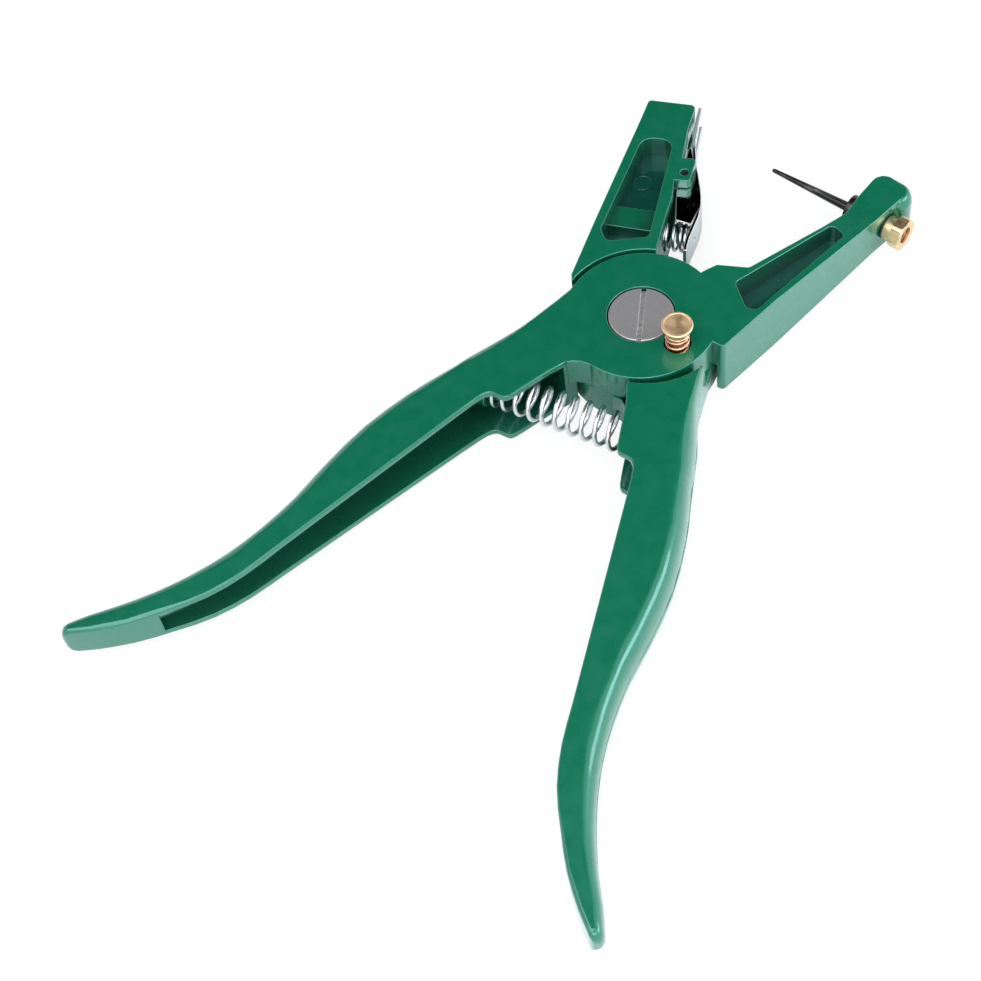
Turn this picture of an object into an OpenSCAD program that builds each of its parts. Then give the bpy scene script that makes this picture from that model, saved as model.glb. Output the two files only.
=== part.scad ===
// Ear tag applicator: two cast levers on a half-lap pivot, a needle jaw and a spring clip jaw.
// The origin is on the pivot axis at the underside, +Z is up and +Y runs towards the jaws.
// Each lever is named for its jaw: the pin lever has the left handle, the clip lever the right one.

/* [Hub] */
// Thickness of both levers at the pivot
hub_t = 21; // [19:0.5:23]
// Diameter of the half-lap disc on each lever
disc_d = 45.4; // [45:0.2:47]
// Running gap between the two half-lap faces
lap_gap = 0.3; // [0.2:0.05:0.6]
// Gap between the rim of a disc and the other lever
rim_gap = 1.3; // [1:0.1:1.8]

/* [Handles] */
// Thickness of a handle at the end of its channel
grip_t = 13.6; // [12:0.2:15]
// Thickness of a handle at its rounded tip
tip_t = 11.6; // [10:0.2:13]
// Thickness of the two flanges of a handle
flange_t = 2.2; // [1.6:0.1:2.8]
// Thickness of the back of a handle
web_t = 3.2; // [2.6:0.1:4]
// Roundness of the back, measured inwards from its outermost line
back_r = 5; // [3.5:0.25:6]

/* [Jaws] */
// How much the needle jaw thins on each side towards its end
pin_jaw_thin = 3.1; // [1:0.1:4]
// How much the clip jaw thins on each side towards its end
clip_jaw_thin = 1.5; // [0.5:0.1:2]
// Thickness of the web between the pockets of a jaw
pocket_web_t = 3; // [2:0.25:5]
// Height of the slot that the needle passes through
needle_slot_h = 5; // [4.6:0.2:6]
// Width of that slot, measured outwards from the pivot
needle_slot_w = 7.4; // [6.4:0.2:7.8]

/* [Pivot] */
// Diameter of the slotted screw head
screw_head_d = 19; // [17:0.25:19.5]
// Height of the slotted screw head
screw_head_h = 3; // [2.4:0.2:3.6]
// Diameter of the plain shank of the pivot screw
screw_d = 9; // [8:0.25:11]
// Diameter of the threaded end of the pivot screw
screw_thread_d = 6; // [5:0.25:7]
// Width of the screwdriver slots
slot_w = 1.4; // [1:0.1:2]
// Depth of the screwdriver slots
slot_depth = 1.1; // [0.6:0.1:1.6]
// Diameter of the round pivot nut
nut_d = 16; // [14:0.25:18]
// Height of the round pivot nut
nut_h = 2.6; // [2:0.2:3.2]
// How far the nut is sunk below the underside
nut_sink = 0.4; // [0.2:0.1:0.8]
// Thickness of the washer on the nut
washer_t = 0.6; // [0.4:0.1:1]

/* [Lock button] */
// Distance of the button from the pivot axis
lock_r = 14.6; // [14.4:0.1:15.4]
// Direction of the button, in degrees from +X
lock_angle = -14.6; // [-20:0.2:-10]
// Diameter of the button's head
button_d = 9.1; // [8:0.1:9.6]
// Height of the button above the hub when it is up
button_rise = 8.3; // [7:0.1:9]
// Height of the button's head and neck
button_head_h = 3.1; // [2.6:0.1:3.2]
// Travel of the button
button_travel = 4; // [2:0.25:4.2]
// Diameter of the button's stem
stem_d = 4; // [3.4:0.1:4.4]
// Diameter of the locking collar at the end of the stem
collar_d = 5.4; // [5.1:0.1:5.6]
// Length of the locking collar
collar_len = 5.5; // [4.5:0.25:5.75]
// Thickness of the wall that the button's spring stands on
lock_web_t = 1.5; // [1:0.1:2]

/* [Needle] */
// Length of the needle in front of its collar
needle_len = 27.6; // [24:0.2:29]
// Diameter of the needle at its collar
needle_base_d = 3; // [2.4:0.1:3.4]
// Diameter of the needle at its tip
needle_tip_d = 1.2; // [0.8:0.1:1.6]
// Diameter of the needle's collar
needle_collar_d = 8.8; // [7:0.1:9.4]
// Thickness of the needle's collar
needle_collar_t = 3; // [1.4:0.1:3.6]
// Diameter of the needle's shank in the jaw
needle_shank_d = 4; // [3.4:0.1:4.4]
// Width of the hexagon of the needle's nut, across its flats
hex_af = 9.3; // [8.6:0.1:10.5]
// Length of the hexagon of the needle's nut
hex_len = 4.2; // [3.6:0.2:5.6]
// Diameter of the round shoulder of the needle's nut
shoulder_d = 8.2; // [7.6:0.1:9]
// Length of the round shoulder of the needle's nut
shoulder_len = 2; // [1.4:0.1:2.6]
// Diameter of the open bore in the end of the needle's nut
socket_d = 5.2; // [4.6:0.1:6]
// Thickness of the ring under the needle's nut
ring_t = 0.5; // [0.4:0.1:1]

/* [Tag clip] */
// Thickness of the sheet that the clip is pressed from
sheet_t = 1.2; // [0.9:0.1:1.4]
// Width of the clip, from flange to flange
clip_w = 11.4; // [10.6:0.1:11.6]
// Width of the gap between the clip's two prongs
prong_gap = 5.4; // [5.2:0.1:6.4]
// Diameter of the clip's pin
clip_pin_d = 2.5; // [2:0.1:3]
// How far the pin is sunk below the faces of the ears
clip_pin_sink = 0.8; // [0.4:0.1:1.2]
// Diameter of the round of the clip's flanges about its pin
clip_eye_d = 6; // [5:0.2:6.4]

/* [Springs] */
// Wire of the return spring
return_wire = 1.4; // [1:0.1:1.5]
// Outer diameter of the return spring
return_od = 11.8; // [10.5:0.1:12.4]
// Turns of the return spring
return_turns = 14; // [9:0.5:15]
// Wire of the clip's spring
clip_wire = 0.9; // [0.6:0.1:1]
// Outer diameter of the clip's spring
clip_spring_od = 8.4; // [7.6:0.1:8.6]
// Turns of the clip's spring
clip_turns = 6; // [4:0.5:7]
// Wire of the button's spring
lock_wire = 0.8; // [0.6:0.1:0.9]
// Outer diameter of the button's spring
lock_spring_od = 7.1; // [6.8:0.1:7.2]
// Turns of the button's spring
lock_turns = 4; // [3:0.5:4.5]

/* [Fit] */
// Clearance on the radius where a shaft turns or slides in a bore
running = 0.05; // [0.03:0.01:0.08]
// Clearance on the radius around heads, nuts and springs in their recesses
loose = 0.4; // [0.3:0.05:0.45]
// Angle through which the handles close
close_angle = 28; // [24:1:28]

/* [Hidden] */
$fn = 64;
cut = 1;
mid_z = hub_t / 2;
disc_r = disc_d / 2;
lap_low = mid_z - lap_gap / 2;
lap_high = mid_z + lap_gap / 2;
recess_r = disc_r + rim_gap;
rim_relief = [1.6, 0.6];

// Half outline of a handle, mirrored for the other side. Each row runs across the handle:
// inner edge x and y, outer edge x and y, roundness of the back as a share of back_r.
HANDLE_ROWS = [
    [3, -12, 22.6, 1, 0.2],
    [9.5, -24.4, 27.6, -15, 0.4],
    [12.3, -29.6, 31.2, -22.2, 0.75],
    [15.2, -37, 34.9, -29.3, 1],
    [17.6, -42.7, 37.4, -34.7, 1],
    [19.1, -44, 38.2, -36.6, 1],
    [22.1, -44.1, 38.9, -38.4, 1],
    [24, -45.3, 39.5, -40, 1],
    [25.8, -49, 41.2, -43.5, 1],
    [29.6, -60.4, 46, -54.3, 1],
    [34, -74.2, 50.9, -69.6, 1],
    [38.4, -88, 53.4, -85.4, 1],
    [42.7, -100.7, 54.6, -98.5, 1],
    [47.1, -114, 57.3, -111.5, 1],
    [50.9, -125.8, 60.6, -121.9, 1],
    [55.9, -136.2, 65, -131.8, 0.9],
    [62.8, -145.6, 70.2, -141, 0.8],
    [70, -154.2, 76.3, -149.6, 0.7],
    [77.2, -160.8, 81.7, -156.3, 0.62],
    [82, -164.4, 85.1, -161.2, 0.56]];
// Row numbers between which the channel runs, kept off the rows of the handle itself
CHANNEL_START = 1.2;
CHANNEL_END = 16.2;
ROW_STEPS = 2;
TIP_CAP = 2.8;
// Where along -Y the thickness starts to fall, where the channel ends, and the tip
taper_start = 44;
taper_grip = 132;
taper_tip = 165;
flange_edge_r = 0.7;
tip_edge_r = 1.3;
channel_fillet = 1.4;
back_power = 2.3;

// Outlines of the jaws as corners with a radius each: x, y, radius
PIN_JAW = [
    [4, 6, 0], [7.4, 21.8, 0.3], [9.8, 26.4, 1], [18.3, 30.1, 1.6], [28.8, 54.6, 9],
    [32.3, 63.5, 12], [32.5, 71.9, 10], [33.8, 83.4, 3.8], [44.9, 79.6, 2.8], [29.5, 15.6, 18],
    [26.2, 1, 1.4], [22.2, 1.3, 0.3], [12, 0, 0]];
PIN_POCKET = [[17.8, 23, 1.6], [31.1, 57, 1.8], [36.1, 55.3, 2], [27.4, 14.3, 2.6]];
CLIP_JAW = [
    [-12, 2, 0], [-23.1, -0.6, 0.3], [-25.4, 2.9, 1], [-41.2, 74, 1.1], [-27.2, 78.8, 1.5],
    [-24.3, 68.7, 6], [-20, 58.1, 2], [-17.8, 49.4, 2], [-15, 43.6, 6], [-12, 33.8, 6],
    [-8.3, 22.4, 0.4], [-4, 8, 0]];
CLIP_POCKET = [
    [-34.8, 59.9, 4], [-26, 62.8, 3.4], [-12.9, 25.9, 1.8], [-23, 18.4, 2.4], [-26.7, 21.7, 2.4]];
CLIP_EARS = [
    [-21.4, 56.6, 0], [-20.4, 57.9, 0.6], [-16.2, 60, 1.4], [-13.3, 50.8, 1.2], [-17.7, 49, 0.6],
    [-19.5, 50.6, 0]];
// Where along +Y the jaws start to thin and where they are thinnest
jaw_thin_start = 23;
jaw_thin_end = 64;

// Pivot of the clip, the run of its sheet from the tip of a prong to the thumb end, and the
// free edge of its flanges, from the upper end past the pin to the lower end
clip_pivot = [-16.52, 53.19];
CLIP_RUN = [
    [-27.1, 81.2], [-26, 78], [-24.3, 73.9], [-22.1, 68.6], [-19.4, 63.9], [-16.9, 59.9],
    [-13.9, 56.1], [-11.1, 52.3], [-9.3, 49.6], [-7.6, 46.4], [-6.3, 42.7], [-5.5, 39],
    [-4.7, 34.8], [-3.6, 31.3], [-2.9, 29.6]];
CLIP_FLANGE = [
    [-21.7, 66.2, 0.4], [-21.9, 64.4, 0.6], [-19.2, 57.3, 2], [-19.6, 53.1, 2.6],
    [-17.2, 49.4, 1.5], [-15.2, 45.5, 3], [-11.3, 38.4, 0.8], [-6.2, 39.1, 0.2], [-6.6, 42.4, 2],
    [-7.9, 46.4, 3], [-11.5, 52.3, 3], [-17.3, 59.9, 4], [-19.9, 63.9, 2]];
ear_gap = 0.3;
prong_root_y = 61.5;
thumb_hole = [-5.38, 38.76];
thumb_hole_d = 1.1;

// Seats of the springs, and the boss in the clip jaw
return_left = [-28.13, -36.22];
return_right = [26.6, -31.02];
seat_d = return_od + 1;
peg_d = return_od - 2 * return_wire - 1;
peg_len = 3.6;
clip_spring_axis = 17.5;
clip_spring_back = [-17.11, 34.35];
clip_spring_len = 11.4;
clip_seat_d = clip_spring_od + 2 * loose;
boss_wall = 1.6;

// Needle axis, measured from the point where it leaves the jaw
needle_from = [32.35, 71.12];
needle_dir = 174.9;
needle_seat = 0.35;
nut_seat = 10.1;
needle_path_r = 74;
// Rounded outer corner of the needle jaw: how far its centre lies inside the corner of the
// outline, and its radius at the faces
heel_inset = [3.6, 1.8];
heel_r = 3.2;
heel = [PIN_JAW[8][0] - heel_inset[0], PIN_JAW[8][1] - heel_inset[1], heel_r];

function unit(v) = v / norm(v);
function side(v) = [-v[1], v[0]];
function wrap(i, n) = (i + n) % n;

// Corner rounded by an arc through (steps + 1) points that touches both edges
function fillet_arc(a, b, c, r, steps) =
    let(u = unit(a - b), v = unit(c - b), half = acos(max(-1, min(1, u * v))) / 2,
        reach = r / tan(half), centre = b + unit(u + v) * r / sin(half),
        p = b + u * reach - centre, q = b + v * reach - centre)
    [for (k = [0 : steps])
        let(t = k / steps, m = p * (1 - t) + q * t) centre + unit(m) * r];
function corner_xy(p) = [p[0], p[1]];
function rounded(pts, steps = 4) =
    [for (i = [0 : len(pts) - 1])
        let(n = len(pts), b = corner_xy(pts[i]), r = pts[i][2])
        each (r == 0 ? [b] :
            fillet_arc(corner_xy(pts[wrap(i - 1, n)]), b, corner_xy(pts[wrap(i + 1, n)]), r, steps))];

// Smooth curve through a list of rows, at a fractional row number
function smooth4(a, b, c, d, t) =
    0.5 * (2 * b + (c - a) * t + (2 * a - 5 * b + 4 * c - d) * t * t
        + (3 * b - a - 3 * c + d) * t * t * t);
function row_at(rows, u) =
    let(last = len(rows) - 1, i = min(floor(u), last - 1), t = u - i)
    smooth4(rows[max(i - 1, 0)], rows[i], rows[i + 1], rows[min(i + 2, last)], t);

// Skin over rings of equally many points, closed at both ends
module skin(rings) {
    n = len(rings[0]);
    m = len(rings);
    points = [for (ring = rings) each ring];
    walls = [for (i = [0 : m - 2]) for (j = [0 : n - 1])
        let(k = wrap(j + 1, n), a = i * n + j, b = i * n + k, c = a + n, d = b + n)
        each [[a, c, b], [b, c, d]]];
    first = [[for (j = [0 : n - 1]) j]];
    last = [[for (j = [n - 1 : -1 : 0]) (m - 1) * n + j]];
    polyhedron(points, concat(first, walls, last), convexity = 6);
}

// Section across a handle: s runs from the inner edge to the back, z from the middle plane
function handle_t(y) =
    lookup(-y, [[taper_start, hub_t], [taper_grip, grip_t], [taper_tip, tip_t]]);
function edge_r(y) =
    lookup(-y, [[taper_grip + 8, flange_edge_r], [taper_tip - 8, tip_edge_r]]);
function bow(a, r, h) =
    [r * pow(abs(cos(a)), 2 / back_power), h * sign(sin(a)) * pow(abs(sin(a)), 2 / back_power)];
function handle_section(w, h, round_back, e) =
    let(r = min(round_back, w - e))
    concat(
        [for (a = [-90 : 18 : 90]) [w - r, 0] + bow(a, r, h)],
        [for (a = [90 : 30 : 180]) [e, h - e] + e * [cos(a), sin(a)]],
        [for (a = [180 : 30 : 270]) [e, e - h] + e * [cos(a), sin(a)]]);
function channel_section(w, h) =
    let(d = w - web_t, z = h - flange_t, f = channel_fillet)
    [[-4, -z], [d - f, -z], [d - 0.3 * f, 0.3 * f - z], [d, f - z],
        [d, z - f], [d - 0.3 * f, z - 0.3 * f], [d - f, z], [-4, z]];
function across(row, flat) =
    let(p = [row[0], row[1]], dir = unit([row[2], row[3]] - p))
    [for (q = flat) [p[0] + q[0] * dir[0], p[1] + q[0] * dir[1], mid_z + q[1]]];
function row_width(row) = norm([row[2] - row[0], row[3] - row[1]]);
function handle_ring(u) =
    let(row = row_at(HANDLE_ROWS, u))
    across(row, handle_section(row_width(row), handle_t(row[1]) / 2, back_r * row[4],
        edge_r(row[1])));
function channel_ring(u) =
    let(row = row_at(HANDLE_ROWS, u))
    across(row, channel_section(row_width(row), handle_t(row[1]) / 2));
function middle(ring) = [for (k = [0 : 2]) [for (p = ring) p[k]] * [for (p = ring) 1] / len(ring)];

module handle_skin() {
    last = len(HANDLE_ROWS) - 1;
    body = [for (i = [0 : last * ROW_STEPS]) handle_ring(i / ROW_STEPS)];
    end = body[len(body) - 1];
    c = middle(end);
    ahead = unit(c - middle(body[len(body) - 2]));
    cap = [for (k = [0.5, 0.8, 0.95])
        [for (p = end) c + ahead * TIP_CAP * k + (p - c) * sqrt(1 - k * k)]];
    skin(concat(body, cap));
}

module channel_skin() {
    skin([for (i = [0 : (CHANNEL_END - CHANNEL_START) * ROW_STEPS])
        channel_ring(CHANNEL_START + i / ROW_STEPS)]);
}

// Casting of the right handle with its channel, before the hub is joined
module handle() {
    difference() {
        handle_skin();
        channel_skin();
    }
}

// Round seat and peg for one end of the return spring, from the back of a handle inwards
module spring_seat(from, to) {
    dir = atan2(to[1] - from[1], to[0] - from[0]);
    translate([from[0], from[1], mid_z]) rotate([0, 0, dir]) rotate([0, 90, 0]) {
        translate([0, 0, -4.2]) cylinder(h = 4.2, d = seat_d);
        cylinder(h = peg_len, d1 = peg_d, d2 = peg_d - 1);
    }
}

// Half-lap disc of the right handle's lever, with the fillet between disc and handle
module half_lap_disc(z0, z1) {
    translate([0, 0, z0]) {
        cylinder(h = z1 - z0, r = disc_r, $fn = 128);
        linear_extrude(height = z1 - z0)
            polygon([[3.2, -22.5], [6.2, -22.8], [8.3, -23.7], [9.8, -25], [12, -22], [8, -16]]);
    }
}

// Room for the other lever's disc, with a little relief on the side of the handle
module disc_room(z0, z1, relief) {
    translate([0, 0, z0]) cylinder(h = z1 - z0, r = recess_r, $fn = 128);
    translate([relief[0], relief[1], z0]) cylinder(h = z1 - z0, r = recess_r, $fn = 128);
}

// Slab of a jaw that thins evenly on both sides towards its end
module jaw_slab(outline, thin) {
    reach = jaw_thin_end - jaw_thin_start;
    far = jaw_thin_end + 30;
    profile = [
        [-30, 0], [jaw_thin_start, 0], [jaw_thin_end, thin], [far, thin],
        [far, hub_t - thin], [jaw_thin_end, hub_t - thin], [jaw_thin_start, hub_t], [-30, hub_t]];
    intersection() {
        linear_extrude(height = hub_t) polygon(rounded(outline));
        translate([-60, 0, 0]) rotate([90, 0, 90]) linear_extrude(height = 120) polygon(profile);
    }
}

// Swelling at the outer corner of the needle jaw
module needle_heel() {
    low = pin_jaw_thin;
    high = hub_t - pin_jaw_thin;
    translate([heel[0], heel[1], 0]) rotate_extrude()
        polygon([
            [0, low], [heel[2], low], [heel[2] + 1.1, low + 1.3], [heel[2] + 1.7, low + 3.4],
            [heel[2] + 1.7, high - 3.4], [heel[2] + 1.1, high - 1.3], [heel[2], high], [0, high]]);
}

// Pockets in both faces of a jaw, down to the web in the middle
module jaw_pockets(outline) {
    deep = mid_z - pocket_web_t / 2 + cut;
    translate([0, 0, -cut]) linear_extrude(height = deep) polygon(rounded(outline, 6));
    translate([0, 0, mid_z + pocket_web_t / 2]) linear_extrude(height = deep)
        polygon(rounded(outline, 6));
}

module along_needle(s) {
    translate([needle_from[0], needle_from[1], mid_z]) rotate([0, 0, needle_dir])
        rotate([0, 90, 0]) translate([0, 0, s]) children();
}

module at_lock(angle) {
    rotate([0, 0, angle]) translate([lock_r, 0, 0]) children();
}

head_floor = hub_t - screw_head_h;
lock_web_low = lap_high + collar_len + 0.4;
lock_web_high = lock_web_low + lock_web_t;

module pin_lever() {
    color("#116e4e") difference() {
        union() {
            difference() {
                union() {
                    mirror([1, 0, 0]) handle();
                    jaw_slab(PIN_JAW, pin_jaw_thin);
                }
                disc_room(-cut, lap_high, [-rim_relief[0], rim_relief[1]]);
                jaw_pockets(PIN_POCKET);
            }
            mirror([1, 0, 0]) half_lap_disc(lap_high, hub_t);
            needle_heel();
            spring_seat(return_left, return_right);
        }
        translate([0, 0, lap_high - cut]) cylinder(h = hub_t, d = screw_d + running);
        translate([0, 0, head_floor]) cylinder(h = hub_t, d = screw_head_d + 2 * loose);
        at_lock(lock_angle) {
            translate([0, 0, lap_high - cut]) cylinder(h = hub_t, d = stem_d + 2 * running);
            translate([0, 0, lap_high - cut])
                cylinder(h = lock_web_low - lap_high + cut, d = collar_d + 0.2);
            translate([0, 0, lock_web_high])
                cylinder(h = hub_t, d = lock_spring_od + 2 * loose);
        }
        along_needle(-20) cylinder(h = 30, d = needle_shank_d + 2 * running);
        along_needle(-needle_seat) cylinder(h = 6, d = needle_collar_d + 2 * loose);
        along_needle(-nut_seat - 8) cylinder(h = 8, d = hex_af / cos(30) + 2 * loose);
    }
}

module clip_lever() {
    ear_low = mid_z - clip_w / 2 - ear_gap;
    ear_space = clip_w + 2 * ear_gap;
    boss_h = clip_seat_d + 2 * boss_wall;
    boss_w = clip_seat_d - 1.2;
    color("#116e4e") difference() {
        union() {
            difference() {
                union() {
                    handle();
                    jaw_slab(CLIP_JAW, clip_jaw_thin);
                    jaw_slab(CLIP_EARS, clip_jaw_thin);
                }
                disc_room(lap_low, hub_t + cut, rim_relief);
                jaw_pockets(CLIP_POCKET);
                translate([clip_pivot[0], clip_pivot[1], ear_low])
                    cylinder(h = ear_space, d = clip_eye_d + 2.4);
                clip_sweep_room(ear_low, ear_space);
            }
            half_lap_disc(0, lap_low);
            spring_seat(return_right, return_left);
            intersection() {
                linear_extrude(height = hub_t) polygon(rounded(CLIP_POCKET));
                at_clip_spring(-16) translate([-boss_h / 2, -boss_w / 2, 0])
                    cube([boss_h, boss_w, 30]);
            }
        }
        translate([0, 0, -cut]) cylinder(h = hub_t, d = screw_d + 2 * running);
        translate([0, 0, -cut])
            cylinder(h = cut + nut_sink + nut_h + washer_t + 0.1, d = nut_d + 2 * loose);
        for (angle = [lock_angle, lock_angle + close_angle])
            at_lock(angle) translate([0, 0, -cut]) cylinder(h = hub_t, d = collar_d + 0.4);
        translate([clip_pivot[0], clip_pivot[1], -cut])
            cylinder(h = hub_t + 2 * cut, d = clip_pin_d + running);
        at_clip_spring(0) cylinder(h = 40, d = clip_seat_d);
        translate([0, 0, mid_z - needle_slot_h / 2]) rotate([0, 0, 95])
            rotate_extrude(angle = 40, $fn = 96)
                translate([needle_path_r - needle_slot_h / 2, 0])
                    square([needle_slot_w, needle_slot_h]);
    }
}

// Room between the ears and in the jaw's face for the flanges of the clip to swing
module clip_sweep_room(z, h) {
    translate([0, 0, z]) linear_extrude(height = h)
        polygon([
            [-12, 37.5], [-14.6, 37.5], [-17.6, 44.5], [-19.6, 49.5], [-20.9, 52], [-20.9, 59.3],
            [-12, 64]]);
}

module at_clip_spring(s) {
    translate([clip_spring_back[0], clip_spring_back[1], mid_z]) rotate([0, 0, clip_spring_axis])
        rotate([0, 90, 0]) translate([0, 0, s]) children();
}

module screw_slot(z) {
    rotate([0, 0, 26]) translate([-screw_head_d, -slot_w / 2, z])
        cube([2 * screw_head_d, slot_w, slot_depth + cut]);
}

module pivot_screw() {
    shank_low = nut_sink + nut_h;
    color("#8d8b8c") difference() {
        union() {
            translate([0, 0, head_floor]) cylinder(h = screw_head_h, d = screw_head_d, $fn = 96);
            translate([0, 0, shank_low]) cylinder(h = head_floor - shank_low, d = screw_d);
            translate([0, 0, nut_sink + 0.3])
                cylinder(h = shank_low - nut_sink, d = screw_thread_d);
        }
        rotate([0, 0, 90]) screw_slot(hub_t - slot_depth);
    }
}

module pivot_washer() {
    color("#9a9a98") translate([0, 0, nut_sink + nut_h]) difference() {
        cylinder(h = washer_t, d = nut_d - 1);
        translate([0, 0, -cut]) cylinder(h = washer_t + 2 * cut, d = screw_d + 2 * running);
    }
}

module pivot_nut() {
    color("#8d8b8c") translate([0, 0, nut_sink]) difference() {
        cylinder(h = nut_h, d = nut_d, $fn = 96);
        translate([0, 0, -cut]) cylinder(h = nut_h + 2 * cut, d = screw_thread_d + 2 * running);
        translate([-nut_d, -slot_w / 2, -cut]) cube([2 * nut_d, slot_w, cut + slot_depth]);
    }
}

// Wire wound on a round axis along +Z, from z = 0 to len, with closed end turns
module coil(od, wire, turns, len, steps = 18, sides = 8) {
    r = (od - wire) / 2;
    dead = min(1, turns / 5);
    open = len - wire - 2 * dead * wire;
    n = floor(turns * steps);
    rise = function (t) wire / 2 + wire * min(t, dead)
        + open * max(0, min(1, (t - dead) / (turns - 2 * dead)))
        + wire * max(0, t - turns + dead);
    rings = [for (i = [0 : n])
        let(t = turns * i / n, a = 360 * t, c = [r * cos(a), r * sin(a), rise(t)])
        [for (k = [0 : sides - 1])
            let(b = 360 * k / sides, o = wire / 2 * cos(b))
            c + [o * cos(a), o * sin(a), wire / 2 * sin(b)]]];
    skin(rings);
}

module return_spring() {
    span = return_right - return_left;
    color("#c9ccd0") translate([return_left[0], return_left[1], mid_z])
        rotate([0, 0, atan2(span[1], span[0])]) rotate([0, 90, 0]) translate([0, 0, 0.1])
            coil(return_od, return_wire, return_turns, norm(span) - 0.2);
}

button_top = hub_t + button_rise;
button_low = button_top - button_head_h;
collar_low = lap_high + 0.3;
collar_high = collar_low + collar_len;

module lock_button() {
    r = button_d / 2;
    neck = lock_spring_od / 2 - 0.1;
    spigot = stem_d / 2 - 0.5;
    color("#b8863c") at_lock(lock_angle) rotate_extrude()
        polygon([
            [0, collar_low], [spigot, collar_low], [spigot, collar_high], [stem_d / 2, collar_high],
            [stem_d / 2, button_low], [neck, button_low], [neck, button_low + 0.6],
            [r - 0.2, button_top - 1], [r, button_top - 0.7], [r, button_top - 0.3],
            [r - 0.35, button_top], [r - 0.8, button_top], [0, button_top - 0.5]]);
}

module lock_collar() {
    color("#8f9296") at_lock(lock_angle) translate([0, 0, collar_low]) difference() {
        cylinder(h = collar_len, d = collar_d);
        translate([0, 0, -cut]) cylinder(h = collar_len + 2 * cut, d = stem_d - 1 + running);
    }
}

module lock_spring() {
    color("#b0744c") at_lock(lock_angle) translate([0, 0, lock_web_high + 0.05])
        coil(lock_spring_od, lock_wire, lock_turns, button_low - lock_web_high - 0.1);
}

module needle() {
    tip = needle_tip_d / 2;
    base = needle_base_d / 2;
    head = needle_collar_d / 2;
    shank = needle_shank_d / 2;
    end = nut_seat + ring_t + shoulder_len + 0.6;
    front = needle_collar_t - needle_seat;
    color("#26262a") along_needle(0) rotate_extrude()
        polygon([
            [0, -end], [shank - 0.4, -end], [shank, 0.4 - end], [shank, -needle_seat],
            [head, -needle_seat], [head, front - 0.2], [head - 0.2, front], [base, front],
            [tip, front + needle_len - 0.3], [tip - 0.25, front + needle_len],
            [0, front + needle_len]]);
}

module needle_ring() {
    color("#1b1b1d") along_needle(-nut_seat - ring_t) difference() {
        cylinder(h = ring_t, d = shoulder_d + 0.5);
        translate([0, 0, -cut]) cylinder(h = ring_t + 2 * cut, d = needle_shank_d + 2 * running);
    }
}

module needle_nut() {
    len = shoulder_len + hex_len;
    corner = hex_af / cos(30) / 2;
    color("#c9993f") along_needle(-nut_seat - ring_t) rotate([180, 0, 0]) difference() {
        union() {
            cylinder(h = shoulder_len, d = shoulder_d);
            translate([0, 0, shoulder_len]) intersection() {
                rotate([0, 0, 30]) cylinder(h = hex_len, r = corner, $fn = 6);
                rotate_extrude() polygon([
                    [0, 0], [corner - 0.5, 0], [corner, 0.4], [corner, hex_len - 1],
                    [corner - 1.4, hex_len], [0, hex_len]]);
            }
        }
        translate([0, 0, -cut]) cylinder(h = len + 2 * cut, d = needle_shank_d + 2 * running);
        translate([0, 0, shoulder_len + 0.8]) cylinder(h = len, d = socket_d);
    }
}

// Ribbon of the sheet along a run of points, seen from above
function ribbon(run, t) =
    let(n = len(run),
        off = function (i) side(unit(run[min(i + 1, n - 1)] - run[max(i - 1, 0)])) * t / 2)
    concat([for (i = [0 : n - 1]) run[i] + off(i)], [for (i = [n - 1 : -1 : 0]) run[i] - off(i)]);

module tag_clip() {
    low = mid_z - clip_w / 2;
    high = mid_z + clip_w / 2;
    color("#b9bdc1") difference() {
        union() {
            translate([0, 0, low]) linear_extrude(height = clip_w) polygon(ribbon(CLIP_RUN, sheet_t));
            for (z = [low, high - sheet_t])
                translate([0, 0, z]) linear_extrude(height = sheet_t) polygon(rounded(CLIP_FLANGE));
        }
        translate([-35, prong_root_y, mid_z - prong_gap / 2]) cube([22, 30, prong_gap]);
        translate([clip_pivot[0], clip_pivot[1], 0])
            cylinder(h = hub_t, d = clip_pin_d + 2 * running);
        translate([thumb_hole[0], thumb_hole[1], mid_z]) rotate([0, 90, 10])
            cylinder(h = 4, d = thumb_hole_d, center = true);
    }
}

module clip_pin() {
    low = clip_jaw_thin * (clip_pivot[1] - jaw_thin_start) / (jaw_thin_end - jaw_thin_start)
        + clip_pin_sink;
    color("#55575a") translate([clip_pivot[0], clip_pivot[1], low])
        cylinder(h = hub_t - 2 * low, d = clip_pin_d);
}

module clip_spring() {
    color("#c9ccd0") at_clip_spring(0.05)
        coil(clip_spring_od, clip_wire, clip_turns, clip_spring_len);
}

pin_lever();
clip_lever();
pivot_screw();
pivot_washer();
pivot_nut();
return_spring();
lock_button();
lock_collar();
lock_spring();
needle();
needle_ring();
needle_nut();
tag_clip();
clip_pin();
clip_spring();
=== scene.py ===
# %% [markdown]
# # Ear tag applicator
# The real tool is two painted castings that cross at a half-lap pivot. One jaw carries a
# needle held by a brass nut, the other a sprung chrome clip. A return spring opens the
# handles, and a brass button on the hub locks them shut. Every piece below sits on the
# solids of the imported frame, in metres, so the first step is to load that frame.

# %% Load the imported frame
import math

import bmesh
import bpy
import numpy as np
from mathutils import Matrix, Vector


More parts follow.
